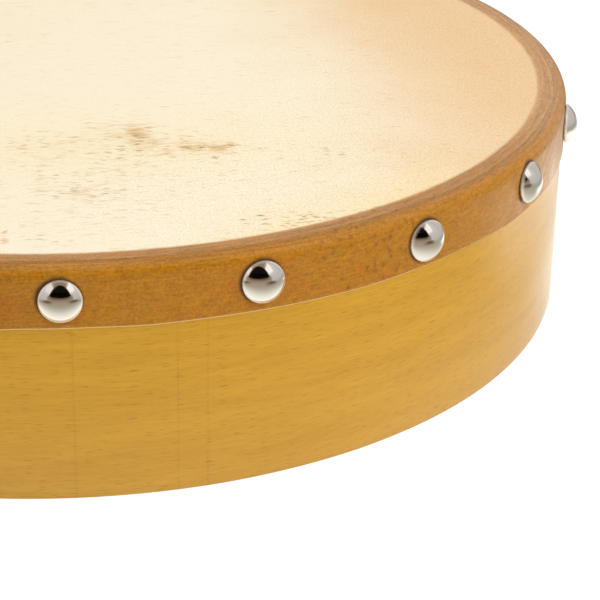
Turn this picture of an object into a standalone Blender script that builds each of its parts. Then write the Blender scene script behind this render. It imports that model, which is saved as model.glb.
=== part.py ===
"""A hand drum, standing on the open edge of its shell.

Three bent layers of wood are laminated into a round shell. A goatskin head is drawn over
its top, round its outer edge and down the outside, where a ring of domed nails holds it.
Metres, +Z up, with the origin in the middle of the ring that the drum stands on.
"""

import math

import bmesh
import bpy
from mathutils import Matrix, Vector

# Driving dimensions
SHELL_RADIUS = 0.127        # outside of the wood, a ten-inch shell
SHELL_WALL = 0.0067         # all three layers together
DRUM_HEIGHT = 0.0535        # from the standing edge to the playing face
SKIN_THICKNESS = 0.0005
SKIRT_DEPTH = 0.0135        # how far the skin reaches down from the playing face
EDGE_ROUND = 0.0032         # radius of the skin where it turns down over the shell
GAP = 0.0003                # clearance between neighbouring pieces

NAIL_COUNT = 19
NAIL_HEIGHT = 0.046         # from the standing edge to the middle of a nail
NAIL_RADIUS = 0.00475       # rim of the dome
NAIL_RISE = 0.003           # how far the dome stands out from its own rim
NAIL_METAL = 0.0004         # thickness of the stamped dome
SHANK_RADIUS = 0.0006
SHANK_LENGTH = 0.0054       # from the plane of the rim to the tip
TIP_LENGTH = 0.0018         # the tapered part of that

FOOT_ROUND = 0.0006         # the eased outer corner that the drum stands on
INNER_EASE = 0.0005         # the eased inner corner under the skin

# How finely round shapes are drawn
SHELL_SEGMENTS = 5 * NAIL_COUNT
EDGE_STEPS = 4
NAIL_SEGMENTS = 12
DOME_STEPS = 3
HOLE_SEGMENTS = 8
SHARP_ANGLE = math.radians(40)
MERGE_DISTANCE = 0.00001

# What follows from them
SHELL_TOP = DRUM_HEIGHT - SKIN_THICKNESS - GAP
PLY_THICKNESS = (SHELL_WALL - 2 * GAP) / 3
SKIN_INSIDE = SHELL_RADIUS + GAP
SKIN_OUTSIDE = SKIN_INSIDE + SKIN_THICKNESS
SKIRT_EDGE = DRUM_HEIGHT - SKIRT_DEPTH
ROUND_CENTRE_RADIUS = SKIN_OUTSIDE - EDGE_ROUND
ROUND_CENTRE_HEIGHT = DRUM_HEIGHT - EDGE_ROUND
NAIL_SEAT = SKIN_OUTSIDE + GAP
HOLE_RADIUS = SHANK_RADIUS + GAP

# Colour, metallic and roughness of each finish
FINISHES = {
    "lacquered_plywood": ((0.61, 0.36, 0.09), 0.0, 0.3),
    "goatskin": ((0.92, 0.78, 0.56), 0.0, 0.45),
    "chrome": ((0.8, 0.8, 0.8), 1.0, 0.08),
}


def clear_scene():
    """Remove what the scene holds at the start."""
    for thing in list(bpy.data.objects):
        bpy.data.objects.remove(thing, do_unlink=True)


def new_collection(name):
    """Add a collection to the scene."""
    collection = bpy.data.collections.new(name)
    bpy.context.scene.collection.children.link(collection)
    return collection


def make_material(name):
    """Make one of the finishes as a Principled BSDF."""
    colour, metallic, roughness = FINISHES[name]
    material = bpy.data.materials.new(name)
    material.use_nodes = True
    shader = material.node_tree.nodes["Principled BSDF"]
    shader.inputs["Base Color"].default_value = (*colour, 1.0)
    shader.inputs["Metallic"].default_value = metallic
    shader.inputs["Roughness"].default_value = roughness
    return material


def arc(centre, radius, start, end, steps):
    """Points (radius, height) along a round stretch of a profile, angles from level outwards."""
    angles = [start + (end - start) * step / steps for step in range(steps + 1)]
    return [(centre[0] + radius * math.cos(a), centre[1] + radius * math.sin(a)) for a in angles]


def turned_mesh(name, profile, closed, segments, material):
    """Turn a profile of (radius, height) about Z with a Screw modifier, and give the mesh.

    The profile runs outwards over the top, down the outer side and back in underneath.
    """
    count = len(profile)
    edges = [(i, i + 1) for i in range(count - 1)]
    if closed:
        edges.append((count - 1, 0))
    outline = bpy.data.meshes.new(name + "_profile")
    outline.from_pydata([(r, 0.0, z) for r, z in profile], edges, [])
    holder = bpy.data.objects.new(name + "_profile", outline)
    bpy.context.scene.collection.objects.link(holder)

    screw = holder.modifiers.new("turn", "SCREW")
    screw.axis = "Z"
    screw.angle = math.tau
    screw.steps = segments
    screw.render_steps = segments
    screw.use_merge_vertices = True
    screw.merge_threshold = MERGE_DISTANCE

    depsgraph = bpy.context.evaluated_depsgraph_get()
    mesh = bpy.data.meshes.new_from_object(holder.evaluated_get(depsgraph))
    mesh.name = name
    mesh.materials.clear()
    mesh.materials.append(material)
    mesh.shade_smooth()
    mesh.set_sharp_from_angle(angle=SHARP_ANGLE)
    bpy.data.objects.remove(holder, do_unlink=True)
    bpy.data.meshes.remove(outline)
    return mesh


def add_piece(name, mesh, collection, parent):
    """Put a mesh into the drum as an object of its own."""
    piece = bpy.data.objects.new(name, mesh)
    collection.objects.link(piece)
    piece.parent = parent
    return piece


def outer_ply_profile():
    """The outer layer: the wood's rounded edge is the skin's, smaller by the skin and the gap."""
    inside = SHELL_RADIUS - PLY_THICKNESS
    wood_round = EDGE_ROUND - SKIN_THICKNESS - GAP
    start = math.acos((inside - ROUND_CENTRE_RADIUS) / wood_round)
    centre = (ROUND_CENTRE_RADIUS, ROUND_CENTRE_HEIGHT)
    top = arc(centre, wood_round, start, 0.0, EDGE_STEPS)
    foot = [(SHELL_RADIUS, FOOT_ROUND), (SHELL_RADIUS - FOOT_ROUND, 0.0)]
    return top + foot + [(inside, 0.0)]


def core_ply_profile():
    """The middle layer, square at both edges."""
    outside = SHELL_RADIUS - PLY_THICKNESS - GAP
    inside = outside - PLY_THICKNESS
    return [(inside, SHELL_TOP), (outside, SHELL_TOP), (outside, 0.0), (inside, 0.0)]


def inner_ply_profile():
    """The inner layer, with its two inner corners eased."""
    outside = SHELL_RADIUS - 2 * (PLY_THICKNESS + GAP)
    inside = SHELL_RADIUS - SHELL_WALL
    return [
        (inside + INNER_EASE, SHELL_TOP),
        (outside, SHELL_TOP),
        (outside, 0.0),
        (inside + INNER_EASE, 0.0),
        (inside, INNER_EASE),
        (inside, SHELL_TOP - INNER_EASE),
    ]


def head_profile():
    """The skin: flat across the top, round the edge, down to its trimmed edge and back inside."""
    centre = (ROUND_CENTRE_RADIUS, ROUND_CENTRE_HEIGHT)
    outside = arc(centre, EDGE_ROUND, math.pi / 2, 0.0, EDGE_STEPS)
    inside = arc(centre, EDGE_ROUND - SKIN_THICKNESS, 0.0, math.pi / 2, EDGE_STEPS)
    trimmed_edge = [(SKIN_OUTSIDE, SKIRT_EDGE), (SKIN_INSIDE, SKIRT_EDGE)]
    underside = DRUM_HEIGHT - SKIN_THICKNESS
    return [(0.0, DRUM_HEIGHT)] + outside + trimmed_edge + inside + [(0.0, underside)]


def dome_arc(rim_radius, rise, steps):
    """A shallow spherical cap from its apex down to its rim, which lies at height zero."""
    sphere_radius = (rim_radius ** 2 + rise ** 2) / (2 * rise)
    half_angle = math.asin(rim_radius / sphere_radius)
    centre = (0.0, rise - sphere_radius)
    return arc(centre, sphere_radius, math.pi / 2, math.pi / 2 - half_angle, steps)


def nail_profile():
    """One nail, pointing down: a hollow stamped dome with a tapered shank welded inside it."""
    dome = dome_arc(NAIL_RADIUS, NAIL_RISE, DOME_STEPS)
    hollow = dome_arc(NAIL_RADIUS - NAIL_METAL, NAIL_RISE - NAIL_METAL, DOME_STEPS - 1)
    shank_top = (SHANK_RADIUS, NAIL_RISE - NAIL_METAL)
    shank = [(SHANK_RADIUS, TIP_LENGTH - SHANK_LENGTH), (0.0, -SHANK_LENGTH)]
    return dome + hollow[:0:-1] + [shank_top] + shank


def nail_turn(index):
    """Azimuth of a nail about the drum's axis. The first is at the front, on -Y."""
    return -math.pi / 2 + index * math.tau / NAIL_COUNT


def make_nail_holes(collection):
    """A ring of round pegs that cuts the holes through the skirt and the two outer layers."""
    start = SHELL_RADIUS - 2 * PLY_THICKNESS - 1.5 * GAP
    end = NAIL_SEAT
    pegs = bmesh.new()
    for index in range(NAIL_COUNT):
        turn = Matrix.Rotation(nail_turn(index), 4, "Z") @ Matrix.Rotation(math.pi / 2, 4, "Y")
        place = turn @ Matrix.Translation((0.0, 0.0, (start + end) / 2))
        height = Matrix.Translation((0.0, 0.0, NAIL_HEIGHT))
        bmesh.ops.create_cone(
            pegs,
            cap_ends=True,
            segments=HOLE_SEGMENTS,
            radius1=HOLE_RADIUS,
            radius2=HOLE_RADIUS,
            depth=end - start,
            matrix=height @ place,
        )
    mesh = bpy.data.meshes.new("nail_holes")
    pegs.to_mesh(mesh)
    pegs.free()
    cutter = bpy.data.objects.new("nail_holes", mesh)
    collection.objects.link(cutter)
    cutter.hide_render = True
    cutter.display_type = "WIRE"
    return cutter


def cut(piece, cutter):
    """Cut one object out of another."""
    boolean = piece.modifiers.new("nail_holes", "BOOLEAN")
    boolean.operation = "DIFFERENCE"
    boolean.solver = "EXACT"
    boolean.object = cutter


def make_shell_and_head(drum, base, cutter):
    """The three layers of the shell and the skin over them."""
    wood = make_material("lacquered_plywood")
    skin = make_material("goatskin")
    turned = {
        "outer_ply": (outer_ply_profile(), True, wood),
        "core_ply": (core_ply_profile(), True, wood),
        "inner_ply": (inner_ply_profile(), True, wood),
        "head": (head_profile(), False, skin),
    }
    pieces = {}
    for name, (profile, closed, material) in turned.items():
        mesh = turned_mesh(name, profile, closed, SHELL_SEGMENTS, material)
        pieces[name] = add_piece(name, mesh, drum, base)
    for name in ("outer_ply", "core_ply", "head"):
        cut(pieces[name], cutter)


def make_nails(drum, base):
    """The ring of nails, which share one mesh."""
    mesh = turned_mesh("nail", nail_profile(), False, NAIL_SEGMENTS, make_material("chrome"))
    for index in range(NAIL_COUNT):
        turn = nail_turn(index)
        nail = add_piece("nail_%02d" % (index + 1), mesh, drum, base)
        outwards = Vector((math.cos(turn), math.sin(turn), 0.0))
        nail.location = NAIL_SEAT * outwards + Vector((0.0, 0.0, NAIL_HEIGHT))
        nail.rotation_euler = (0.0, math.pi / 2, turn)


def main():
    """Build the drum."""
    clear_scene()
    drum = new_collection("hand_drum")
    cutters = new_collection("cutters")
    base = bpy.data.objects.new("standing_edge", None)
    drum.objects.link(base)
    make_shell_and_head(drum, base, make_nail_holes(cutters))
    make_nails(drum, base)


main()
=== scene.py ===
"""The looks of a shallow hand drum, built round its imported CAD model.

The file is laid out as a Blender add-on and is run as a script. Its operators make a shell of
three bent layers of plywood, a goatskin head, a ring of domed nails and a plain studio.
"""

import math
from functools import partial

import bpy
import numpy as np
from mathutils import Matrix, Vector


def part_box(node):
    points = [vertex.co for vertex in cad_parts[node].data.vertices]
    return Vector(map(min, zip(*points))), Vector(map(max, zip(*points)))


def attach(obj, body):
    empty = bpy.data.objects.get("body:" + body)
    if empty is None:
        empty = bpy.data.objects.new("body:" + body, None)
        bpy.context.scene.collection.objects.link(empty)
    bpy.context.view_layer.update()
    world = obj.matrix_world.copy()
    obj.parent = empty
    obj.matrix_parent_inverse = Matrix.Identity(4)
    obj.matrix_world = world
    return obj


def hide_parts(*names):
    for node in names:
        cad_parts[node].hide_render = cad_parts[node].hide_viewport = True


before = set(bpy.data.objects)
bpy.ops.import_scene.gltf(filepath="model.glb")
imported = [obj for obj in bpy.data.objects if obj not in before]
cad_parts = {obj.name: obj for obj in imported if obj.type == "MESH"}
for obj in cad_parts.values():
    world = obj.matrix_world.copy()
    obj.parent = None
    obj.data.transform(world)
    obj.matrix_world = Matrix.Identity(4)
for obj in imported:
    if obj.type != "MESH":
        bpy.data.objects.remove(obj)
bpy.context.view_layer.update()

bl_info = {
    "name": "Hand drum",
    "version": (1, 0, 0),
    "blender": (4, 5, 0),
    "location": "3D View > Sidebar > Hand drum",
    "description": "Builds the visible surfaces of a shallow hand drum with a nailed goatskin head",
    "category": "Object",
}

MM = 0.001
TURN = 2 * math.pi

# Sizes that the CAD model gives
NAIL_NODES = sorted(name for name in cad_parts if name.startswith("nail_"))
SHELL_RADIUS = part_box("outer_ply")[1].x
head_low, head_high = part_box("head")
DRUM_HEIGHT, SKIN_OUTSIDE, SKIRT_EDGE = head_high.z, head_high.x, head_low.z
nail_low, nail_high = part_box(NAIL_NODES[0])
NAIL_HEIGHT = (nail_low.z + nail_high.z) / 2
NAIL_RADIUS = (nail_high.z - nail_low.z) / 2
NAIL_REACH = -nail_low.y
FIRST_NAIL = -math.pi / 2
# How the five nails that the photograph shows were driven in: tilts upwards and sideways in
# degrees, moves along the skirt and upwards in mm, and size
SEEN_NAILS = (
    (5.0, 0.0, -0.1, -0.1, 1.01), (4.5, 4.5, 0.0, 0.0, 1.03), (2.5, 6.0, 0.2, -0.4, 1.05),
    (3.5, 3.5, 0.3, 0.05, 1.07), (3.0, 3.0, -0.3, 0.0, 1.05),
)

# The marks that the skin's material reads
SKIN_MARKS = ("peach", "gold", "roots", "stain", "rough_face", "cut_edge", "nail_gap", "rusty", "painted_sheen")
# Spots in the face: strength, middle and half axes in mm, and turn in radians
PEACH_SPOTS = ((0.12, 74, -72, 30, 22, 0.6),)
GOLD_SPOTS = ((0.26, 12, -60, 46, 17, 0.0), (0.2, -50, 30, 40, 26, 0.6))
ROUGH_SPOTS = ((0.5, 10, -80, 40, 30, 0.0),)
ROOT_SPOTS = (
    (0.3, 12, -72, 34, 26, 0.0), (0.4, 19, -57, 8, 10, 0.1), (0.45, 34, -64, 10, 6, 0.0),
    (0.3, -6, -58, 16, 7, 0.0), (0.35, 4, -88, 9, 6, 0.0), (0.75, -9, -111, 11, 5, -0.1),
    (1.8, 50, -105.5, 10, 3, 0.15), (0.25, 66, -66, 14, 8, 0.0), (0.35, 60, -63, 5, 4, 0.0),
    (0.3, -60, 40, 34, 14, 0.5), (0.3, 20, 85, 30, 12, -0.6),
)
STAIN_SPOTS = (
    (0.5, 18.2, -55.3, 3.5, 7, 0.1), (0.35, 13.5, -47, 6, 3, -0.1), (0.2, 29.5, -57, 3, 5, 0.0),
    (0.2, 8, -54, 12, 4, 0.0), (0.5, 35, -61.6, 7, 2.3, -0.1), (0.3, 32, -61.5, 8, 2.4, 0.1),
    (0.2, 33, -67, 7, 3, 0.0), (0.3, 5, -88, 5, 3, 0.0), (0.15, -8, -62, 14, 4, 0.0),
    (0.12, 6, -80, 36, 30, 0.0), (0.3, 48, 60, 9, 5, 0.7),
)
# How bright mirrors see the floor, by its distance from the drum's axis in metres
FLOOR_TONES = (
    (0.13, 1.3), (0.145, 1.14), (0.155, 0.98), (0.165, 0.84), (0.178, 0.72), (0.192, 0.64),
    (0.21, 0.56), (0.237, 0.5), (0.275, 0.46), (0.6, 0.42),
)
WHITE = (1.0, 1.0, 1.0)

# Settings that many shader nodes share: a mix of two colours, a smooth range, and the first value
# times the second plus the third
COLOURS = {"output": 2, "data_type": "RGBA"}
SMOOTH = {"interpolation_type": "SMOOTHSTEP"}
SUM = {"operation": "MULTIPLY_ADD"}


def linear(hex_colour):
    """Turn an sRGB hex value into linear red, green and blue."""
    parts = [int(hex_colour[i:i + 2], 16) / 255 for i in (1, 3, 5)]
    return tuple(p / 12.92 if p <= 0.04045 else ((p + 0.055) / 1.055) ** 2.4 for p in parts)


def length(name, description, default):
    """A size in metres that a user may change."""
    return bpy.props.FloatProperty(
        name=name, description=description, default=default,
        unit="LENGTH", subtype="DISTANCE", precision=5,
    )


def number(name, description, default):
    """A plain number that a user may change."""
    return bpy.props.FloatProperty(name=name, description=description, default=default)


def colour(name, description, hex_colour):
    """A colour that a user may change."""
    return bpy.props.FloatVectorProperty(
        name=name, description=description, default=linear(hex_colour),
        subtype="COLOR", size=3, min=0.0, max=1.0,
    )


class ShellSettings(bpy.types.PropertyGroup):
    """Sizes and colours of the three bent layers of wood."""

    outer_radius: length("Outer radius", "Outside of the wood", SHELL_RADIUS)
    wall: length("Wall", "All three layers together", 6.7 * MM)
    wood_height: length("Wood height", "From the standing edge to the top of the wood", 52.97 * MM)
    glue_line: length("Glue line", "Width of the joint between two layers", 0.09 * MM)
    foot_round: length("Foot rounding", "Eased outer corner of the standing edge", 0.15 * MM)
    facet: length("Facets", "How far bending leaves the wall out of round", 0.035 * MM)
    columns: bpy.props.IntProperty(name="Columns", description="Steps round the shell", default=720, min=3)
    lacquer_light: colour("Lacquered wood", "Early wood under golden lacquer", "#CD9A26")
    lacquer_dark: colour("Grain", "Late wood and pores under the lacquer", "#AC7704")
    cut_wood: colour("Cut edge", "Bare edge of a layer under the lacquer", "#D2AA66")
    glue: colour("Glue", "Glue showing at the joints", "#5B3A14")


class SkinSettings(bpy.types.PropertyGroup):
    """Sizes and colours of the goatskin head."""

    height: length("Height", "Playing face above the standing edge", DRUM_HEIGHT)
    outside: length("Outside", "Radius of the skirt", SKIN_OUTSIDE - 0.3 * MM)
    skirt_edge: length("Skirt edge", "Height of the trimmed edge", SKIRT_EDGE)
    thickness: length("Thickness", "Thickness of the stretched face", 0.5 * MM)
    edge_round: length("Edge rounding", "Radius where the skin turns down", 3.2 * MM)
    wave: length("Edge wave", "How far the trimmed edge wanders", 0.35 * MM)
    knife_cut: length("Knife cut", "Height of the slanting cut at the edge", 0.42 * MM)
    cream: colour("Cream", "The stretched face, with air behind it", "#EEE1C5")
    # Peach also stands in part for painted shade on one side of the face
    peach: colour("Peach", "Thicker parts of the face", "#E2BD8C")
    gold: colour("Gold", "Fat that stayed in the face", "#EED790")
    brown: colour("Brown", "Flat on the top of the wood", "#A7712F")
    # Painted sheen: a paler brown for the side of the drum where the gloss looks whiter
    sheen_brown: colour("Pale brown", "Where the skin is drier, on one side", "#B2824B")
    amber: colour("Amber", "Where it is pulled thin over the corner", "#AC6F04")
    ochre: colour("Ochre", "Down the side, with glue behind it", "#AB700B")
    rust: colour("Rust", "Thicker places in the skirt", "#A35A0A")
    hair: colour("Hair roots", "Short dark marks that the hair left", "#C48E32")
    scar: colour("Scars", "The darkest marks in the face", "#6E4510")
    # Painted shade: the colour of the dark ring that is painted round each nail
    root: colour("Dark roots", "The skin's shade under the nails", "#4E2D10")
    speck: colour("Specks", "Red-brown specks in the skirt", "#753A0C")
    raw_edge: colour("Raw edge", "The trimmed edge of the skin", "#E9C47E")


class NailSettings(bpy.types.PropertyGroup):
    """Sizes and finish of the domed nails."""

    radius: length("Radius", "Rim of the dome", NAIL_RADIUS - 0.25 * MM)
    rise: length("Rise", "How far the dome stands out from the skin", 2.8 * MM)
    ball: length("Ball", "Radius of the ball that the dome is part of", 5.8 * MM)
    rim: length("Rim", "Radius of the rolled rim", 0.3 * MM)
    metal: length("Metal", "Thickness of the stamped dome", 0.4 * MM)
    height: length("Height", "Middle of a nail above the standing edge", NAIL_HEIGHT + 0.35 * MM)
    seat: length("Seat", "Radius of the plane that the nails press on", NAIL_REACH - 3.7 * MM)
    shank_radius: length("Shank radius", "Half the thickness of the shank", 0.6 * MM)
    shank_length: length("Shank length", "From the rim to the tip", 5.2 * MM)
    chrome: colour("Chrome", "Polished chrome plate", "#E4E0D8")
    # The pale rim line is partly this glue and partly a painted reflection of the bright floor, stronger
    # at the bottom of each nail
    glue: colour("Glue", "Dried glue that squeezed out along the rim", "#FFF1D8")


class StudioSettings(bpy.types.PropertyGroup):
    """Light and floor of the plain studio."""

    floor: colour("Floor", "Pale floor that the drum stands on", "#F4F4F3")
    sky: number("Sky", "Strength of the light from all round", 0.76)
    left_lamp: number("Left lamp", "Power of the left soft box in watts", 0.8)
    right_lamp: number("Right lamp", "Power of the right soft box in watts", 9.8)
    top_lamp: number("Top lamp", "Power of the soft box overhead in watts", 5.9)
    lens: number("Lens", "Focal length in millimetres for a 36 mm sensor", 126.943)


def settings(context, name):
    """The settings of one group of pieces."""
    return getattr(context.scene, "hand_drum_" + name)


def add_node(tree, kind, inputs=(), output=0, stops=(), **values):
    """Add a node, set it up, link or fill its inputs, which come in order or by name, and give one
    of its outputs. A colour comes without its alpha, and a ramp's stops as place and shade."""
    node = tree.nodes.new("ShaderNode" + kind)
    for name, value in values.items():
        setattr(node, name, value)
    named = inputs if isinstance(inputs, dict) else dict(enumerate(inputs))
    for name, value in named.items():
        socket = node.inputs[name]
        if isinstance(value, bpy.types.NodeSocket):
            tree.links.new(value, socket)
        else:
            socket.default_value = (*value, 1.0) if socket.type == "RGBA" else value
    for index, (place, shade) in enumerate(stops):
        ramp = node.color_ramp.elements
        stop = ramp[index] if index < 2 else ramp.new(place)
        stop.position = place
        stop.color = (shade, shade, shade, 1.0)
    return node.outputs[output] if len(node.outputs) else node


def new_material(name):
    """An empty material, and the function that adds nodes to it."""
    material = bpy.data.materials.new(name)
    material.use_nodes = True
    material.node_tree.nodes.clear()
    return material, partial(add_node, material.node_tree)


def drawn_out_grain(add, place, size, detail, roughness, distortion=0.0):
    """Grain of a real size: noise at a place that is divided by the grain's length and width, both
    given in mm."""
    scale = (1 / (size[0] * MM), 1 / (size[1] * MM), 1.0)
    return add(
        "TexNoise",
        {"Vector": add("Mapping", {"Vector": place, "Scale": scale}), "Scale": 1.0,
         "Detail": detail, "Roughness": roughness, "Distortion": distortion},
    )


def scattered_marks(add, place, size, odds, limits, strength):
    """Soft oval marks, 0.4 of a cell across, one in each cell, whose size is in mm. A mark shows where
    the odds pass its cell's random number by the first limit, and fully by the second. It gives
    the marks, and a second random number for each cell."""
    scale = (1 / (size[0] * MM), 1 / (size[1] * MM), 1.0)
    marks = add(
        "TexVoronoi", {"Vector": add("Mapping", {"Vector": place, "Scale": scale}), "Scale": 1.0},
        output="Distance", voronoi_dimensions="2D",
    )
    chance = add("SeparateColor", {"Color": marks.node.outputs["Color"]}, output="Red")
    kept = add("Math", (odds, chance), operation="SUBTRACT")
    kept = add("MapRange", (kept, *limits, 0.0, strength))
    return add("MapRange", (marks, 0.34, 0.06, 0.0, kept)), chance.node.outputs["Blue"]


def smooth_step(low, high, value):
    """Nought below low, one above high, and a smooth rise between them."""
    share = np.clip((value - low) / (high - low), 0.0, 1.0)
    return share * share * (3.0 - 2.0 * share)


def waves(angle, orders, seed):
    """A smooth closed curve of angle: a sum of sines of whole orders with seeded phases and
    weights, scaled so that it stays within about one."""
    source = np.random.default_rng(seed)
    orders = np.asarray(orders)
    phase = source.uniform(0.0, TURN, len(orders))
    weight = source.uniform(0.4, 1.0, len(orders))
    total = weight[:, None] * np.sin(orders[:, None] * angle[None, :] + phase[:, None])
    return total.sum(axis=0) / np.sqrt((weight ** 2).sum()) / 1.6


def arc(centre, half_axes, start, end, steps):
    """Points along an ellipse: centre plus half axes times cosine and sine of the angle."""
    angle = np.linspace(start, end, steps + 1)
    return np.array(centre) + np.array(half_axes) * np.stack([np.cos(angle), np.sin(angle)], 1)


def straight(start, end, steps):
    """Points evenly spaced on a line, without its two ends."""
    share = np.linspace(0.0, 1.0, steps + 1)[1:-1, None]
    return (1.0 - share) * np.array([start]) + share * np.array([end])


def travelled(profile):
    """Distance from a profile's first point to each of its points."""
    steps = np.hypot(*np.diff(profile, axis=0).T)
    return np.concatenate([[0.0], np.cumsum(steps)])


def cells(grid):
    """The four corners of each cell of a grid, from its low row and column round over the next
    row to the next column."""
    return np.stack([grid[:-1, :-1], grid[1:, :-1], grid[1:, 1:], grid[:-1, 1:]], axis=2)


def new_object(name, data):
    """Put a mesh, a lamp or a camera into the scene."""
    made = bpy.data.objects.new(name, data)
    bpy.context.scene.collection.objects.link(made)
    return made


def make_mesh(name, points, closed, along, around, material, sharp):
    """Skin a grid of points (rows, columns, xyz) that is closed round its columns.

    Row i and column j give a quad with row i + 1 and column j + 1. With closed set, the last row
    joins the first; otherwise the first and last rows hold one point each, repeated, and become
    the two poles. The UV map holds the distance around and along, in metres.
    """
    rows, columns = points.shape[:2]
    vertices = points.reshape(-1, 3)
    corner = np.arange(rows * columns).reshape(rows, columns)
    if closed:
        corner = np.concatenate([corner, corner[:1]])
    else:
        vertices = vertices[columns - 1:1 - columns]
        corner = np.clip(corner - columns + 1, 0, len(vertices) - 1)
    faces = cells(np.concatenate([corner, corner[:, :1]], axis=1)).reshape(-1, 4)
    unrolled = cells(np.stack(np.meshgrid(around, along), axis=-1)).reshape(-1, 4, 2)
    # At a pole two corners of a face are the same vertex, and one of them is left out
    used = np.ones(faces.shape, dtype=bool)
    used[:, 2:] = faces[:, 2:] != faces[:, 1::-1]
    starts = np.concatenate([[0], np.cumsum(used.sum(axis=1))[:-1]])

    mesh = bpy.data.meshes.new(name)
    mesh.vertices.add(len(vertices))
    mesh.vertices.foreach_set("co", vertices.astype(np.float32).ravel())
    mesh.loops.add(int(used.sum()))
    mesh.loops.foreach_set("vertex_index", faces[used].astype(np.int32))
    mesh.polygons.add(len(starts))
    mesh.polygons.foreach_set("loop_start", starts.astype(np.int32))
    mesh.update(calc_edges=True)
    layer = mesh.uv_layers.new(name="unrolled")
    layer.uv.foreach_set("vector", unrolled[used].astype(np.float32).ravel())
    if mesh.validate():
        raise RuntimeError("the mesh of %s has faults" % name)
    mesh.shade_smooth()
    mesh.set_sharp_from_angle(angle=math.radians(sharp))
    mesh.materials.append(material)
    return mesh


def point_values(mesh, name, values):
    """Store one number for each vertex, from a grid of them. A pole takes one number of its row."""
    values = values.astype(np.float32).ravel()
    spare = (len(values) - len(mesh.vertices)) // 2
    attribute = mesh.attributes.new(name, "FLOAT", "POINT")
    attribute.data.foreach_set("value", values[spare:len(values) - spare])


def add_piece(name, mesh, nodes):
    """Put a mesh into the scene as a piece that stands for CAD nodes."""
    piece = new_object(name, mesh)
    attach(piece, "root")
    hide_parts(*nodes)
    return piece


def turn_profile(profile, angle, swell):
    """Carry a profile of (radius, height) round the axis: x and y are the radius plus the swell
    at that angle, times cosine and sine of the angle."""
    radius = profile[:, None, 0] + swell
    height = np.broadcast_to(profile[:, None, 1], radius.shape)
    return np.stack([radius * np.cos(angle), radius * np.sin(angle), height], axis=-1)


def out_of_round(angle, shell):
    """How far the bent wall stands off the true circle: flats between the places where the
    bending press held it."""
    return shell.facet * waves(angle, (7, 11, 17, 23, 31), 4)


def lacquered_plywood(shell, name, joints, core):
    """Birch plywood, bent, stained golden and lacquered: it gives fine short pore lines that run
    round the shell, a soft figure, and a clear gloss that turns white where it is seen along."""
    material, add = new_material(name)
    unrolled = add("UVMap", uv_map="unrolled")
    figure = drawn_out_grain(add, unrolled, (48, 4.5), 4.0, 0.6, 0.35)
    fibre = drawn_out_grain(add, unrolled, (1.1, 1.4) if core else (11.0, 0.36), 2.0, 0.55)
    pore = drawn_out_grain(add, unrolled, (3.2, 0.22), 1.0, 0.4)
    pores = add("MapRange", (pore, 0.6, 0.74, 0.0, 0.55), **SMOOTH)
    tone = -0.05
    for pattern, share in ((figure, 0.55), (fibre, 0.5), (pores, 1.0)):
        tone = add("Math", (pattern, share, tone), **SUM)
    tone = add("MapRange", (tone, 0.27, 0.95))
    # The scarf joint and the marks that the bending press left, as thin upright lines
    place = add("SeparateXYZ", (unrolled,))
    lines = 0.0
    for azimuth in joints:
        offset = add("Math", (place, shell.outer_radius * math.radians(azimuth)), operation="SUBTRACT")
        offset = add("Math", (offset,), operation="ABSOLUTE")
        line = add("MapRange", (offset, 0.08 * MM, 0.36 * MM, 0.09, 0.0), **SMOOTH)
        lines = add("Math", (lines, line), operation="MAXIMUM")
    cut = add("Attribute", output="Fac", attribute_name="cut_edge")
    wood, end = (
        add("Mix", {0: tone, 6: light, 7: shell.lacquer_dark}, **COLOURS)
        for light in (shell.lacquer_light, shell.cut_wood)
    )
    for share, over in ((lines, shell.glue), (cut, end)):
        wood = add("Mix", {0: share, 6: wood, 7: over}, **COLOURS)
    rough = add("MapRange", (figure, 0.3, 0.7, 0.13, 0.2))
    bump = add("Bump", {"Height": tone, "Strength": 0.25, "Distance": 0.03 * MM}, invert=True)
    shader = add("BsdfPrincipled", {"Base Color": wood, "Roughness": rough, "Normal": bump, "IOR": 1.5})
    add("OutputMaterial", {"Surface": shader})
    return material


def layer_profiles(shell, skin):
    """Closed outlines (radius, height) of the three layers, outwards over the top and down the
    outer side. The outer one is rounded at the top like the skin above it."""
    ply = (shell.wall - 2 * shell.glue_line) / 3
    top = shell.wood_height
    nick, margin = 0.1 * MM, 0.35 * MM
    outlines = []
    for index in range(3):
        outside = shell.outer_radius - index * (ply + shell.glue_line)
        inside = outside - ply
        if index == 0:
            centre = (skin.outside - skin.edge_round, skin.height - skin.edge_round)
            half = (outside - centre[0], top - centre[1])
            start = math.acos((inside - centre[0]) / half[0])
            foot = (outside - shell.foot_round, shell.foot_round)
            outlines.append(np.concatenate([
                arc(centre, half, start, 0.0, 10),
                straight((outside, centre[1]), (outside, shell.foot_round), 26),
                arc(foot, (shell.foot_round, shell.foot_round), 0.0, -math.pi / 2, 5),
                [[inside + nick, 0.0], [inside, nick]],
                straight((inside, nick), (inside, centre[1]), 4),
            ]))
            continue
        ease = 0.5 * MM if index == 2 else nick
        outlines.append(np.concatenate([
            arc((inside + ease, top - ease), (ease, ease), math.pi, math.pi / 2, 4),
            [[outside - nick, top], [outside, top - nick]],
            straight((outside, top), (outside, 0.0), 5),
            [[outside, nick], [outside - nick, 0.0]],
            arc((inside + ease, ease), (ease, ease), -math.pi / 2, -math.pi, 4),
            straight((inside, margin), (inside, top - margin), 26),
        ]))
    return outlines


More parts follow.
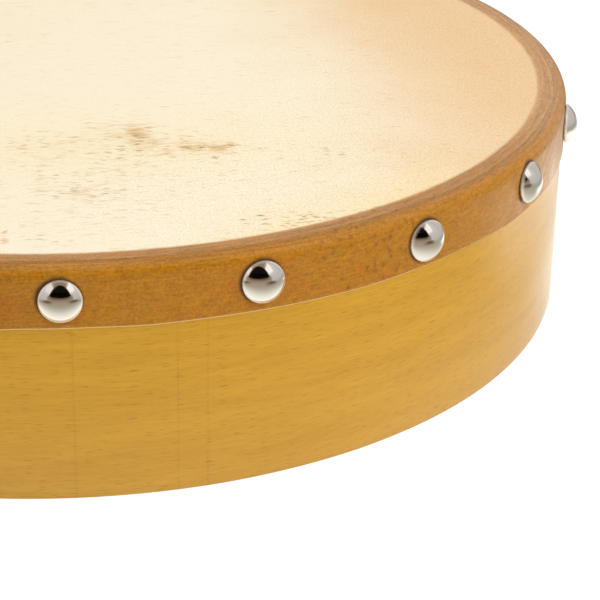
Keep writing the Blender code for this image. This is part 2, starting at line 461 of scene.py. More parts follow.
class HANDDRUM_OT_shell_layers(bpy.types.Operator):
    """Make the three bent layers of the shell"""

    bl_idname = "hand_drum.shell_layers"
    bl_label = "Shell layers"

    def execute(self, context):
        shell = settings(context, "shell")
        angle = np.linspace(0.0, TURN, shell.columns, endpoint=False)
        around = shell.outer_radius * np.linspace(0.0, TURN, shell.columns + 1)
        swell = out_of_round(angle, shell)[None, :]
        # Each layer, and the azimuths of its joint and press marks in degrees
        layers = (("outer", (270.9, 280.7, 283.6, 95.0)), ("core", (210.0,)), ("inner", (330.0, 150.0)))
        outlines = layer_profiles(shell, settings(context, "skin"))
        for (layer, joints), outline in zip(layers, outlines):
            name = layer + "_layer"
            wood = lacquered_plywood(shell, "lacquered_birch_" + name, joints, layer == "core")
            points = turn_profile(outline, angle, swell)
            along = travelled(np.concatenate([outline, outline[:1]]))
            mesh = make_mesh(name, points, True, along, around, wood, 50)
            height = outline[:, 1]
            on_edge = (height < 0.05 * MM) | (height > shell.wood_height - 0.05 * MM)
            point_values(mesh, "cut_edge", np.repeat(on_edge, len(angle)))
            add_piece(name, mesh, [layer + "_ply"])
        return {"FINISHED"}


def skin_angles(nails, steps):
    """Azimuths for the skin's columns, closer together behind each nail. Within one pitch the
    step grows with the distance from the nail."""
    share = (np.arange(steps) + 0.5) / steps * 2.0 - 1.0
    spread = share * (0.42 + 0.58 * share * share)
    pitch = TURN / nails
    sector = FIRST_NAIL + spread * pitch / 2
    return (sector[None, :] + np.arange(nails)[:, None] * pitch).ravel()


def nail_seats():
    """How each nail sits, one row for each: tilts in radians, moves in metres, and size."""
    low = (-2.5, -6.0, -0.3, -0.3, 0.98)
    high = (4.5, 6.0, 0.3, 0.3, 1.05)
    hidden = len(NAIL_NODES) - len(SEEN_NAILS)
    rows = np.random.default_rng(19).uniform(low, high, (hidden, 5))
    units = np.array([math.radians(1), math.radians(1), MM, MM, 1.0])
    return np.concatenate([SEEN_NAILS, rows]) * units


def nail_gap(angle, height, nail):
    """Distance on the skirt from each point to the rim of the nearest nail, and how far the
    point lies to the left of that nail and above it: from one there to minus one opposite."""
    pitch = TURN / len(NAIL_NODES)
    nearest = np.round((angle - FIRST_NAIL) / pitch).astype(int)
    turn = angle - FIRST_NAIL - nearest * pitch
    along, rise, size = nail_seats()[nearest % len(NAIL_NODES), 2:].T
    sideways = turn * SKIN_OUTSIDE - along
    upwards = height - nail.height - rise
    away = np.hypot(sideways, upwards)
    return away - nail.radius * size, (0.6 * upwards - 0.8 * sideways) / np.maximum(away, MM)


def skin_profile(skin, shell):
    """Outline (radius, height) of the skin from the middle of its face, over the rounded corner,
    down to the trimmed edge, and back on the inside to the middle. It also gives how far each
    point is from the middle, measured along the skin, and how many points come before the two
    that the trimmed edge starts from."""
    corner = skin.outside - skin.edge_round
    centre = (corner, skin.height - skin.edge_round)
    wall_inside = shell.outer_radius - shell.wall
    inner = shell.outer_radius + 0.03 * MM
    under = skin.height - skin.thickness
    bevel = skin.skirt_edge + skin.knife_cut
    knife = (skin.outside - 0.05 * MM, bevel - 0.03 * MM)
    rings = np.concatenate([
        np.linspace(0.0, wall_inside - 2.0 * MM, 24),
        np.linspace(wall_inside - 2.0 * MM, corner, 26)[1:-1],
    ])
    face = np.stack([rings, np.full(len(rings), skin.height)], axis=1)
    outside = np.concatenate([
        face,
        arc(centre, (skin.edge_round, skin.edge_round), math.pi / 2, 0.0, 14),
        straight((skin.outside, centre[1]), (skin.outside, bevel), 24),
        [[skin.outside, bevel]],
    ])
    edge = np.concatenate([
        [knife], straight(knife, (inner + 0.04 * MM, skin.skirt_edge), 3),
        [[inner + 0.04 * MM, skin.skirt_edge], [inner, skin.skirt_edge + 0.06 * MM]],
    ])
    half = (inner - centre[0], under - centre[1])
    rings_back = np.linspace(wall_inside, 0.0, 9)
    inside = np.concatenate([
        straight((inner, skin.skirt_edge + 0.06 * MM), (inner, centre[1]), 5),
        arc(centre, half, 0.0, math.pi / 2, 7),
        straight((corner, under), (wall_inside, under), 4),
        np.stack([rings_back, np.full(len(rings_back), under)], axis=1),
    ])
    along_outside = travelled(np.concatenate([outside, edge]))
    along = np.concatenate([along_outside, travelled(inside[::-1])[::-1]])
    return np.concatenate([outside, edge, inside]), along, len(outside) - 2


def goatskin(skin, shell):
    """Goatskin, limed, scraped, and dried on the drum: a pale matt face with the roots of the
    hair left in it, clear and brown like horn where glue and wood lie behind, with a low
    uneven gloss."""
    material, add = new_material("natural_goatskin")
    place = add("TexCoord", output="Object")
    unrolled = add("UVMap", uv_map="unrolled")
    along = add("SeparateXYZ", (unrolled,), output="Y")
    peach, gold, roots, stain, rough_face, cut, nail_gap, rusty, painted_sheen = (
        add("Attribute", output="Fac", attribute_name=name) for name in SKIN_MARKS
    )
    # Clouds of 25 mm and mottling of 2.4 mm, both uneven thickness, and a grain of 0.55 mm
    clouds, mottle, grain = (
        add("TexNoise", {0: place, "Scale": 1 / (size * MM), "Detail": detail, "Roughness": 0.6})
        for size, detail in ((25, 4.0), (2.4, 3.0), (0.55, 2.0))
    )
    # The face: cream, turning peach where it is thicker and darker towards one side as painted shade, and
    # gold where fat stayed in it; both also rise in a band near the rim on the front right
    peach = add("Math", (clouds, 0.5, peach), **SUM)
    peach = add("MapRange", (peach, 0.2, 1.25), **SMOOTH)
    face = skin.cream
    for share, over in ((peach, skin.peach), (gold, skin.gold)):
        face = add("Mix", {0: share, 6: face, 7: over}, **COLOURS)
    grain_shade = add("MapRange", (grain, 0.3, 0.7, 0.15, -0.15))
    graininess = add("MapRange", (rough_face, 0.0, 1.0, 0.25, 1.0))
    grain_shade = add("Math", (grain_shade, graininess, 1.0), **SUM)
    face = add("VectorMath", {0: face, "Scale": grain_shade}, operation="SCALE")
    # Fibres: bent streaks of 5.5 mm by 0.8 mm, faint at large, dense where the skin is stained
    bend = add("TexNoise", {"Vector": place, "Scale": 1 / (6 * MM), "Detail": 3.0}, output="Color")
    bent_place = add("VectorMath", (bend, (2.6 * MM, 4.6 * MM, 0.0), place), **SUM)
    fibres = drawn_out_grain(add, bent_place, (5.5, 0.8), 3.0, 0.65)
    fibres = add("Math", (stain, 0.42, fibres), **SUM)
    fibres = add("MapRange", (fibres, 0.56, 0.86, 0.0, 0.8), **SMOOTH)
    # Hair roots: bent strokes of 1.4 mm by 0.4 mm, with roots as their odds; few of them are dark
    strokes, darkness = scattered_marks(add, bent_place, (3.6, 1.0), roots, (-0.02, 0.35), 0.8)
    darkness = add("Math", (roots, 0.4, darkness), **SUM)
    darkness = add("MapRange", (darkness, 0.55, 1.1, 0.0, 0.85))
    root = add("Mix", {0: darkness, 6: skin.hair, 7: skin.scar}, **COLOURS)
    for share, over in ((fibres, skin.hair), (strokes, root)):
        face = add("Mix", {0: share, 6: face, 7: over}, **COLOURS)
    # Over the wood: brown, with the plies showing as rings, then ochre down the side, and paler on one
    # side of the drum as a painted sheen
    wander = add("Math", (mottle, 0.6 * MM, along), **SUM)
    wall_inside = shell.outer_radius - shell.wall
    over_wood = add("MapRange", (wander, wall_inside - 0.45 * MM, wall_inside + 0.95 * MM), **SMOOTH)
    ring_place = add("MapRange", (along, 120 * MM, 130 * MM))
    ring_stops = (
        (0.0, 0.64), (1.0, 0.5), (0.12, 0.6), (0.18, 0.54), (0.26, 0.46), (0.33, 0.59),
        (0.36, 0.58), (0.42, 0.35), (0.47, 0.35), (0.54, 0.46), (0.66, 0.49), (0.8, 0.43),
    )
    side_stops = ((0.0, 0.0), (1.0, 1.0), (0.5, 0.0), (0.66, 0.5), (0.74, 1.0))
    amber_stops = ((0.0, 0.0), (1.0, 0.0), (0.62, 0.0), (0.72, 1.0), (0.86, 0.6))
    rings, on_side, amber = (
        add("ValToRGB", (ring_place,), stops=stops)
        for stops in (ring_stops, side_stops, amber_stops)
    )
    rust = add("Math", (mottle, 0.35, clouds), **SUM)
    rust = add("Math", (rusty, 0.25, rust), **SUM)
    rust = add("MapRange", (rust, 0.62, 0.95, 0.0, 0.8), **SMOOTH)
    side = skin.ochre
    for share, over in ((rust, skin.rust), (amber, skin.amber)):
        side = add("Mix", {0: share, 6: side, 7: over}, **COLOURS)
    brown = skin.brown
    for share, over in ((on_side, side), (painted_sheen, skin.sheen_brown)):
        brown = add("Mix", {0: share, 6: brown, 7: over}, **COLOURS)
    # Fine lines that run round where the skin lies on the top of the wood, and finer strands
    lines = drawn_out_grain(add, unrolled, (26, 0.45), 2.0, 0.6)
    lines = add("Math", (lines, -0.5), operation="ADD")
    line_share = add("MapRange", (on_side, 0.0, 1.0, 1.35, 0.35))
    strands = drawn_out_grain(add, unrolled, (3.5, 0.6), 4.0, 0.7)
    shade = rings
    for pattern, share in ((lines, line_share), (clouds, 0.3), (strands, 0.9), (grain, 1.0)):
        shade = add("Math", (pattern, share, shade), **SUM)
    shade = add("MapRange", (shade, 0.6, 2.6, 0.0, 2.0))
    brown = add("VectorMath", {0: brown, "Scale": shade}, operation="SCALE")
    # Painted shade: a dark ring round each nail, where the skin dips under its rim, wider on the upper
    # left side where the shadow falls
    painted_nail_shadow = add("MapRange", (nail_gap, 1.0 * MM, 0.0, 0.0, 0.96), **SMOOTH)
    brown = add("Mix", {0: painted_nail_shadow, 6: brown, 7: skin.root}, **COLOURS)
    # Red-brown specks of 0.9 mm, blotched, down the side and where the face is marked most
    blotched_place = add(
        "VectorMath", (mottle.node.outputs["Color"], (2.4 * MM, 2.4 * MM, 0.0), unrolled),
        **SUM,
    )
    odds = add("Math", (over_wood, 0.85, roots), **SUM)
    specks, _ = scattered_marks(add, blotched_place, (2.2, 2.2), odds, (0.87, 1.2), 0.55)
    colour_so_far = face
    for share, over in ((over_wood, brown), (specks, skin.speck), (cut, skin.raw_edge)):
        colour_so_far = add("Mix", {0: share, 6: colour_so_far, 7: over}, **COLOURS)
    # Slanting creases that the skin kept when it was drawn down the side
    crease_place = add(
        "Mapping",
        {"Vector": unrolled, "Rotation": (0.0, 0.0, -0.57), "Scale": (16.0 * MM, 2.0 * MM, 1.0)},
        vector_type="TEXTURE",
    )
    creases = add("TexNoise", {"Vector": crease_place, "Scale": 1.0, "Detail": 2.0, "Roughness": 0.5})
    rough = add("MapRange", (creases, 0.3, 0.7, 0.2, 0.38))
    rough = add("Mix", {0: over_wood, 2: 0.42, 3: rough})
    relief = add("Math", (mottle, 1.5, grain), **SUM)
    relief = add("Math", (creases, over_wood, relief), **SUM)
    bump = add("Bump", {"Height": relief, "Strength": 0.35, "Distance": 0.05 * MM})
    shader = add(
        "BsdfPrincipled",
        {"Base Color": colour_so_far, "Roughness": rough, "Normal": bump, "IOR": 1.42},
    )
    add("OutputMaterial", {"Surface": shader})
    return material


def spots(points, rows):
    """The sum of soft oval spots, each a row: its strength, its middle and its half axes in mm, and
    how far they are turned. A spot falls off with the square of the distance from its middle,
    measured in half axes."""
    total = np.zeros(points.shape[:-1])
    for strength, middle_x, middle_y, half_length, half_width, lean in rows:
        x = points[..., 0] - middle_x * MM
        y = points[..., 1] - middle_y * MM
        along = (x * math.cos(lean) + y * math.sin(lean)) / (half_length * MM)
        across = (y * math.cos(lean) - x * math.sin(lean)) / (half_width * MM)
        total += strength * np.exp(-(along ** 2 + across ** 2))
    return total


def bump_at(place, spread, value):
    """A smooth bump: one at a place, falling off with the square of the distance in spreads."""
    return np.exp(-(((value - place) / spread) ** 2))


def skin_marks(points, radius, height, azimuth, skin):
    """Where the skin is thicker, fatty, hairy, stained, rough, cut or rusty, and where shade and sheen are
    painted, as one number for each point of a grid. Azimuth is nought at the first nail."""
    x, y = points[..., 0], points[..., 1]
    near_rim = smooth_step(0.2, 0.45, azimuth) * smooth_step(1.0, 0.75, azimuth)
    near_rim = near_rim[None, :] * smooth_step(102 * MM, 112 * MM, radius)
    at_rim = smooth_step(0.0, 0.4, azimuth) * smooth_step(0.9, 0.65, azimuth)
    at_rim = at_rim[None, :] * smooth_step(117.5 * MM, 119.5 * MM, radius)
    skirt = smooth_step(119 * MM, 121 * MM, radius)
    band = 0.16 + 0.12 * waves(azimuth, (3, 5, 8, 11), 29) + 0.35 * bump_at(0.55, 0.12, azimuth)
    rusty = smooth_step(0.9, 1.2, np.abs(azimuth)) * (0.5 + 0.6 * waves(azimuth, (2, 5, 7), 12))
    rusty = rusty + bump_at(-0.22, 0.16, azimuth)
    # Painted sheen: the brown over the wood is made paler on one side of the drum, where the gloss makes
    # it look whiter
    painted_sheen = smooth_step(0.95, 1.2, azimuth) * (1.0 - 0.6 * smooth_step(1.8, 2.4, azimuth))
    corner = smooth_step(124.9 * MM, 125.8 * MM, radius) * smooth_step(51.9 * MM, 52.5 * MM, height)
    knife_cut = (height < skin.skirt_edge + skin.knife_cut - 0.01 * MM) & (
        radius < skin.outside - 0.01 * MM
    )
    # Partly painted shade: the face turns peach towards one side, partly from its own thickness and partly
    # for the shade that falls there
    thicker_and_shaded = smooth_step(15 * MM, 120 * MM, x * 0.98 + y * 0.2) ** 1.5
    rough = 0.9 * smooth_step(20 * MM, 80 * MM, x - 0.3 * y)
    return {
        "peach": thicker_and_shaded + spots(points, PEACH_SPOTS) + 0.12 * near_rim + 0.1 * at_rim,
        "gold": spots(points, GOLD_SPOTS) + 0.22 * near_rim + 0.22 * at_rim,
        "roots": (0.012 + spots(points, ROOT_SPOTS)) * (1 - skirt) + skirt * band,
        "stain": spots(points, STAIN_SPOTS),
        "rough_face": rough + spots(points, ROUGH_SPOTS),
        "cut_edge": np.broadcast_to(knife_cut, x.shape),
        "rusty": np.broadcast_to(rusty, x.shape),
        "painted_sheen": painted_sheen * (1.0 - 0.75 * corner),
    }


class HANDDRUM_OT_skin_head(bpy.types.Operator):
    """Make the goatskin head with its rounded edge and nailed skirt"""

    bl_idname = "hand_drum.skin_head"
    bl_label = "Skin head"

    def execute(self, context):
        skin, shell, nail = (settings(context, name) for name in ("skin", "shell", "nail"))
        profile, along, rows_outside = skin_profile(skin, shell)
        angle = skin_angles(len(NAIL_NODES), 38)
        radius, height = profile[:, 0:1], profile[:, 1:2]
        outer_rows = np.arange(len(profile))[:, None] < rows_outside

        # The trimmed edge wanders: the lower part of the skirt follows it up and down
        azimuth = np.mod(angle - FIRST_NAIL + math.pi, TURN) - math.pi
        edge = skin.wave * np.cos(2 * (azimuth + 0.21))
        edge = edge + 0.3 * skin.wave * waves(azimuth, (9, 13, 19, 26, 33), 8)
        for place, spread, rise in ((-0.14, 0.05, -0.55), (0.13, 0.06, -0.2), (0.78, 0.1, 0.5)):
            edge = edge + rise * MM * bump_at(place, spread, azimuth)
        hang = smooth_step(skin.height - skin.edge_round, skin.skirt_edge, height)
        lift = hang * (edge - 0.6 * MM)

        # Swell of the wall, and relief over the wood: a ridge and a groove, with the face below
        wall = smooth_step(60 * MM, shell.outer_radius - shell.wall, radius)
        swell = out_of_round(angle, shell)[None, :] * wall
        drift = 0.12 * MM * waves(azimuth, (5, 8, 12, 21), 3)[None, :]
        ridge = bump_at(123.45 * MM, 0.28 * MM, radius - drift)
        groove = bump_at(124.6 * MM, 0.25 * MM, radius - drift)
        shelf = 1.0 - smooth_step(119.9 * MM, 121.0 * MM, radius)
        on_top = (height > skin.height - 0.4 * MM) & outer_rows
        relief = (0.045 * ridge - 0.06 * groove - 0.08 * shelf) * MM * on_top
        sag = 0.1 * MM * np.cos(np.clip(radius / (118 * MM), 0, 1) * math.pi / 2) * on_top

        # The skirt is drawn in round each nail
        gap, shaded = nail_gap(angle, height + lift, nail)
        pressed = smooth_step(2.4 * MM, -0.5 * MM, gap)
        ripple = 0.05 * MM * waves(azimuth, (38, 57, 76, 95, 61), 11)[None, :] * hang
        on_side = (radius > skin.outside - 0.45 * MM) & outer_rows
        dent = (0.12 * MM * pressed - ripple * (1 - pressed)) * on_side

        points = turn_profile(profile, angle, swell - dent)
        points[..., 2] += lift + relief - sag
        around = skin.outside * np.concatenate([angle, angle[:1] + TURN])
        mesh = make_mesh("skin_head", points, False, along, around, goatskin(skin, shell), 60)
        marks = skin_marks(points, radius, height, azimuth, skin)
        # Painted shade: the gap is made smaller above and to the left of each nail, so that the painted
        # dark ring is wider there
        marks["nail_gap"] = gap + (0.2 - 0.45 * shaded) * MM
        for name, values in marks.items():
            point_values(mesh, name, values)
        head = add_piece("skin_head", mesh, ["head"])
        return {"FINISHED"}


def chrome_plate(nail):
    """Chrome plate on stamped steel: a sharp bright mirror with faint haze. On the rolled rim it is partly
    hidden by pale dried glue, laid on most at the bottom of the rim as a painted reflection of the bright
    floor, so that the rim shows as a thin pale line."""
    material, add = new_material("polished_chrome_plate")
    place = add("TexCoord", output="Object")
    haze = add("TexNoise", {"Vector": place, "Scale": 1 / (1.6 * MM), "Detail": 3.0, "Roughness": 0.6})
    rough = add("MapRange", (haze, 0.35, 0.75, 0.05, 0.12))
    plate = add("BsdfPrincipled", {"Base Color": nail.chrome, "Metallic": 1.0, "Roughness": rough})
    glue = add("BsdfPrincipled", {"Base Color": nail.glue, "Roughness": 0.35, "IOR": 1.5})
    rim = add("Attribute", output="Fac", attribute_name="rim")
    share = add("Math", (rim, 0.8), operation="MULTIPLY")
    add("OutputMaterial", {"Surface": add("MixShader", (share, plate, glue))})
    return material


def dome_fall(nail, radius):
    """How far the dome, part of a ball, has fallen at a distance from its axis."""
    return nail.ball - np.sqrt(nail.ball ** 2 - radius ** 2)


def nail_profile(nail):
    """Outline (radius, height) of a nail that points down, from the top of its crown: the dome, a
    rolled rim that meets it smoothly, a short wall, the foot drawn in below it that presses on
    the skin, the hollow behind, and a shank that tapers to its tip. The roll touches the ball
    from inside, so their middles are as far apart as their radii differ."""
    roll_radius = nail.radius - nail.rim
    apart = nail.ball - nail.rim
    lean = math.asin(roll_radius / apart)
    roll = (roll_radius, nail.rise - nail.ball + apart * math.cos(lean))
    foot = nail.radius - 0.45 * MM
    inside = foot - nail.metal
    rings = np.linspace(0.0, nail.ball * math.sin(lean), 27)
    rings_back = np.linspace(inside, nail.shank_radius + 0.05 * MM, 8)
    shank_top = (nail.shank_radius, nail.rise - nail.metal - 0.05 * MM)
    shank_end = (nail.shank_radius, 1.8 * MM - nail.shank_length)
    return np.concatenate([
        np.stack([rings, nail.rise - dome_fall(nail, rings)], axis=1),
        arc(roll, (nail.rim, nail.rim), math.pi / 2 - lean, 0.0, 6)[1:],
        [[nail.radius, 0.34 * MM], [nail.radius - 0.1 * MM, 0.26 * MM], [foot, 0.24 * MM]],
        [[foot, 0.06 * MM], [foot - 0.06 * MM, 0.0], [inside, 0.0]],
        np.stack([rings_back, nail.rise - nail.metal - dome_fall(nail, rings_back)], axis=1),
        [shank_top],
        straight(shank_top, shank_end, 3),
        [shank_end, [0.0, -nail.shank_length]],
    ])


def place_nail(points, nail, azimuth, seat):
    """Turn points of an upright nail to point inwards at an azimuth, and move them to the skirt.
    Seat holds its axis's small tilts (upwards, sideways), its moves (along, up) and its size."""
    tilt_up, tilt_sideways, along, rise, size = seat
    x, y = points[..., 0] * size, points[..., 1] * size
    z = points[..., 2] * size ** 2
    out = z - tilt_up * y + tilt_sideways * x
    radius = nail.seat + out
    up = y + tilt_up * z + rise
    side = x - tilt_sideways * z + along
    eastward = radius * math.cos(azimuth) - side * math.sin(azimuth)
    northward = radius * math.sin(azimuth) + side * math.cos(azimuth)
    return np.stack([eastward, northward, nail.height + up], axis=-1)


class HANDDRUM_OT_domed_nails(bpy.types.Operator):
    """Make the ring of domed nails"""

    bl_idname = "hand_drum.domed_nails"
    bl_label = "Domed nails"

    def execute(self, context):
        nail = settings(context, "nail")
        material = chrome_plate(nail)
        profile = nail_profile(nail)
        angle = np.linspace(0.0, TURN, 48, endpoint=False)
        upright = turn_profile(profile, angle, np.zeros((1, len(angle))))
        along = travelled(profile)
        around = nail.radius * np.linspace(0.0, TURN, len(angle) + 1)
        rim = smooth_step(nail.radius - 0.42 * MM, nail.radius - 0.12 * MM, profile[:, 0:1])
        # Painted reflection: the pale glue is laid on most at the bottom of each rim, which faces the
        # bright floor, and least at the top
        rim = rim * (0.6 - 0.4 * np.sin(angle))
        for index, (node, seat) in enumerate(zip(NAIL_NODES, nail_seats())):
            azimuth = FIRST_NAIL + index * TURN / len(NAIL_NODES)
            points = place_nail(upright, nail, azimuth, seat)
            name = "domed_" + node
            mesh = make_mesh(name, points, False, along, around, material, 50)
            point_values(mesh, "rim", rim)
            add_piece(name, mesh, [node])
        return {"FINISHED"}


def seen_directly(add):
    """One for rays that show the background: straight from the camera, in gloss and in glass."""
    camera, glossy, glass = (
        add("LightPath", output="Is %s Ray" % kind) for kind in ("Camera", "Glossy", "Transmission")
    )
    seen = add("Math", (camera, glossy), operation="MAXIMUM")
    return add("Math", (seen, glass), operation="MAXIMUM")


def mirrored_glow(add, cool, warm):
    """What mirrors see of a stage surface: a glow as strong as its tone, tinted by its warmth."""
    tone, warmth = (add("Attribute", output="Fac", attribute_name=name) for name in ("tone", "warm"))
    return add("Emission", (add("Mix", {0: warmth, 6: cool, 7: warm}, **COLOURS), tone))


def round_the_drum(radius, turn, height):
    """Points by their distance from the drum's axis, their azimuth from the first nail's side and
    their height: x is the radius times sine of the azimuth, and y minus that times cosine."""
    places = (radius * np.sin(turn), -radius * np.cos(turn), height)
    return np.stack(np.broadcast_arrays(*places), axis=-1)


def stage_surface(name, points, tone, warm, material):
    """A grid of points (rows, columns, xyz), each with a tone and a warmth for mirrors, as a
    piece of the stage."""
    faces = cells(np.arange(tone.size).reshape(tone.shape)).reshape(-1, 4)
    mesh = bpy.data.meshes.new(name)
    mesh.from_pydata(points.reshape(-1, 3).tolist(), [], faces.tolist())
    mesh.shade_smooth()
    point_values(mesh, "tone", tone)
    point_values(mesh, "warm", warm)
    mesh.materials.append(material)
    surface = new_object(name, mesh)
    return surface


def pale_floor(studio):
    """White studio floor: it shows as white and keeps the drum's soft shadow. Mirrors see it
    white near the drum and greyer further off, where the soft boxes don't reach."""
    material, add = new_material("pale_studio_floor")
    matt = add("BsdfDiffuse", (studio.floor,))
    faint = add("BsdfDiffuse", ((0.24, 0.24, 0.24),))
    shown = add("AddShader", (faint, add("Emission", (WHITE, 0.81))))
    glossy = add("LightPath", output="Is Glossy Ray")
    mirrored = mirrored_glow(add, (1.0, 0.975, 0.9), (1.0, 0.83, 0.62))
    shown = add("MixShader", (glossy, shown, mirrored))
    add("OutputMaterial", (add("MixShader", (seen_directly(add), matt, shown)),))
    material.cycles.emission_sampling = "NONE"
    return material


def studio_floor(studio):
    """A round floor of 4 m radius: rings whose radius grows by a power of the ring's number. Its
    tone for mirrors falls off with the distance from the drum, and differs at the sides."""
    ring = 4.0 * np.linspace(0.0, 1.0, 60) ** 2.5
    azimuth = np.linspace(-math.pi, math.pi, 121)
    radius, turn = np.meshgrid(ring, azimuth, indexing="ij")
    off_middle = np.minimum(np.abs(turn), math.pi - np.abs(turn))
    edge_on = smooth_step(1.15, 1.4, off_middle)
    slanting = smooth_step(0.3, 0.7, off_middle) * smooth_step(1.05, 0.85, off_middle)
    bright_band = smooth_step(0.16, 0.178, radius) * smooth_step(0.225, 0.2, radius)
    tone = np.interp(radius, *zip(*FLOOR_TONES))
    tone *= 1.0 - 0.22 * smooth_step(0.6, 1.1, off_middle) * smooth_step(0.24, 0.16, radius)
    tone += 0.18 * smooth_step(0.8, 1.2, off_middle) * smooth_step(0.25, 0.6, radius)
    tone += edge_on * (0.2 * smooth_step(0.22, 0.185, radius) + 0.75 * bright_band)
    tone *= 1.0 - 0.64 * slanting * smooth_step(0.25, 0.36, radius)
    warm = smooth_step(0.8, 0.36, tone) * smooth_step(1.3, 0.8, off_middle)
    points = round_the_drum(radius, turn, -0.03 * MM)
    stage_surface("floor", points, tone, warm, pale_floor(studio))


def reflection_tones(azimuth, elevation):
    """Brightness of the studio by direction, in degrees from the first nail's side: grey walls,
    a dark half-round opening over the front with a bright panel at each side, a smaller one over
    the back, and a pale screen below that."""
    side = np.minimum(np.abs(azimuth), 180.0 - np.abs(azimuth))
    front = np.abs(azimuth) < 90.0
    right = azimuth > 0.0
    edge = 50.0 - 9.0 * smooth_step(14.0, 26.0, elevation) * front
    middle = smooth_step(edge + 4.0, edge - 4.0, side) * np.where(front, 1.0, 0.25)
    wall = 0.64 + 0.1 * front * smooth_step(5.0, 28.0, elevation)
    wall = wall - 0.4 * smooth_step(44.0, 68.0, elevation)
    below = 0.38 - 0.27 * smooth_step(3.0, 17.0, elevation) * smooth_step(50.0, 28.0, side)
    tone = wall + (np.where(elevation < 35.0, below, 0.33) - wall) * middle

    outer = np.where(right, 66.0 + 0.3 * (elevation - 22.0), 72.0)
    top = 50.0 + 0.3 * (side - 40.0)
    panel = smooth_step(outer + 3.0, outer - 4.0, side) * smooth_step(33.0, 40.0, side) * front
    panel *= smooth_step(22.0, 32.0, elevation) * smooth_step(top + 4.0, top - 3.0, elevation)
    tone = tone + (np.where(right, 1.2, 0.98) - tone) * panel

    sill = np.where(front, 15.5 + 2.0 * (side / 44.0) ** 2, 40.0)
    rise = np.maximum(elevation - 15.5, 0.0) / np.where(front, 47.5, 39.5)
    opening = (side / 42.5) ** 2.3 + rise ** 2.3
    dark = smooth_step(1.06, 0.94, opening) * smooth_step(-1.5, 1.0, elevation - sill)
    screen = np.exp(-((side / 45.0) ** 2) - ((elevation - 26.0) / 11.0) ** 2)
    return tone * (1.0 - 0.97 * dark) + 0.3 * screen * (1.0 - front)


def reflection_dome():
    """A dome of 1.5 m radius that only mirrors see. Its points are the radius times cosine of
    elevation round the azimuth, and times sine of elevation for the height."""
    material, add = new_material("studio_walls_in_mirrors")
    add("OutputMaterial", (mirrored_glow(add, (1.0, 0.96, 0.94), (1.0, 0.68, 0.48)),))
    material.cycles.emission_sampling = "NONE"
    azimuth = np.linspace(-180.0, 180.0, 361)
    elevation = np.linspace(-1.0, 89.9, 140)
    rise, turn = np.meshgrid(elevation, azimuth, indexing="ij")
    tone = reflection_tones(turn, rise)
    warm = smooth_step(0.66, 0.22, tone) * smooth_step(85.0, 60.0, np.abs(turn))
    level, height = 1.5 * np.cos(np.radians(rise)), 1.5 * np.sin(np.radians(rise))
    points = round_the_drum(level, np.radians(turn), height)
    dome = stage_surface("reflection_dome", points, tone, warm, material)
    for kind in ("camera", "diffuse", "shadow", "transmission"):
        setattr(dome, "visible_" + kind, False)


def studio_world(studio):
    """White all round: as written where it is seen, and softer where it lights the drum."""
    world = bpy.data.worlds.new("white_studio")
    bpy.context.scene.world = world
    world.use_nodes = True
    world.node_tree.nodes.clear()
    add = partial(add_node, world.node_tree)
    strength = add("MapRange", (seen_directly(add), 0.0, 1.0, studio.sky, 1.0))
    add("OutputWorld", (add("Background", (WHITE, strength)),))


def put(name, data, right, up, back, place):
    """Put a lamp or camera into the scene, from its three axes and its place."""
    matrix = np.identity(4)
    matrix[:3] = np.stack([right, up, back, place], axis=1)
    made = new_object(name, data)
    made.matrix_world = Matrix(matrix.tolist())
    return made


def soft_lamp(name, place, size, power):
    """A square soft box that faces the drum."""
    lamp = bpy.data.lights.new(name, "AREA")
    lamp.shape = "SQUARE"
    lamp.size = size
    lamp.energy = power
    back = np.array(place) / np.linalg.norm(place)
    right = np.cross((0.0, 0.0, 1.0), back)
    right = right / np.linalg.norm(right)
    put(name, lamp, right, np.cross(back, right), back, place).visible_glossy = False


def place_camera(studio):
    """The camera stands where the photograph was taken from: in front, slightly to the right of
    the first nail and above, looking down and a little to the left of the drum's near side."""
    yaw, pitch, roll = 0.10605, 0.439742, 0.020792
    level = np.array([math.cos(yaw), -math.sin(yaw), 0.0])
    onward = np.array([math.sin(yaw), math.cos(yaw), 0.0])
    forward = math.cos(pitch) * onward - np.array([0.0, 0.0, math.sin(pitch)])
    upright = np.cross(level, forward)
    right = math.cos(roll) * level + math.sin(roll) * upright
    up = math.cos(roll) * upright - math.sin(roll) * level
    data = bpy.data.cameras.new("camera")
    data.sensor_width = 36.0
    data.lens = studio.lens
    data.clip_start = 0.01
    data.clip_end = 20.0
    place = (0.007142, -0.514935, 0.228456)
    bpy.context.scene.camera = put("camera", data, right, up, -forward, place)


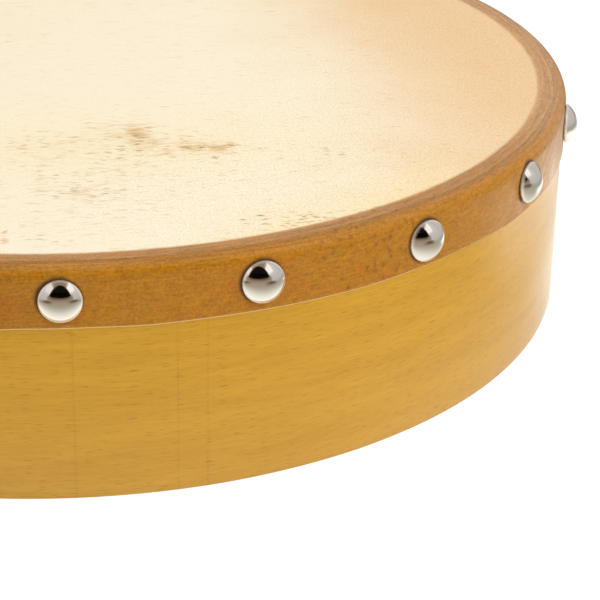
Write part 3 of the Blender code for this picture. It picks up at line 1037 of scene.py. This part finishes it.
class HANDDRUM_OT_studio(bpy.types.Operator):
    """Make the pale floor, the soft light and the camera"""

    bl_idname = "hand_drum.studio"
    bl_label = "Studio"

    def execute(self, context):
        studio = settings(context, "studio")
        studio_floor(studio)
        reflection_dome()
        studio_world(studio)
        soft_lamp("left_soft_box", (-0.9, -1.0, 0.95), 0.9, studio.left_lamp)
        soft_lamp("right_soft_box", (1.21, -0.58, 0.95), 0.9, studio.right_lamp)
        soft_lamp("top_soft_box", (0.1, -0.1, 1.5), 1.2, studio.top_lamp)
        place_camera(studio)
        context.scene.view_settings.view_transform = "Standard"
        return {"FINISHED"}


class HANDDRUM_PT_sidebar(bpy.types.Panel):
    """Buttons that build the drum, piece by piece"""

    bl_idname = "HANDDRUM_PT_sidebar"
    bl_label = "Hand drum"
    bl_space_type = "VIEW_3D"
    bl_region_type = "UI"
    bl_category = "Hand drum"

    def draw(self, context):
        for operator, group, _ in STEPS:
            self.layout.operator(operator.bl_idname, text=operator.bl_label)
            column = self.layout.column()
            chosen = settings(context, group)
            for name in chosen.bl_rna.properties.keys():
                if name not in ("rna_type", "name"):
                    column.prop(chosen, name)


# Each operator with the name and the class of its settings
STEPS = (
    (HANDDRUM_OT_shell_layers, "shell", ShellSettings),
    (HANDDRUM_OT_skin_head, "skin", SkinSettings),
    (HANDDRUM_OT_domed_nails, "nail", NailSettings),
    (HANDDRUM_OT_studio, "studio", StudioSettings),
)


def register():
    """Register the settings, the operators and the panel."""
    for operator, name, group in STEPS:
        bpy.utils.register_class(group)
        setattr(bpy.types.Scene, "hand_drum_" + name, bpy.props.PointerProperty(type=group))
        bpy.utils.register_class(operator)
    bpy.utils.register_class(HANDDRUM_PT_sidebar)


def unregister():
    """Take back what register did."""
    bpy.utils.unregister_class(HANDDRUM_PT_sidebar)
    for operator, name, group in reversed(STEPS):
        bpy.utils.unregister_class(operator)
        delattr(bpy.types.Scene, "hand_drum_" + name)
        bpy.utils.unregister_class(group)


def main():
    """Register the classes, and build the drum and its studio."""
    register()
    bpy.ops.hand_drum.shell_layers()
    bpy.ops.hand_drum.skin_head()
    bpy.ops.hand_drum.domed_nails()
    bpy.ops.hand_drum.studio()


if __name__ == "__main__":
    main()
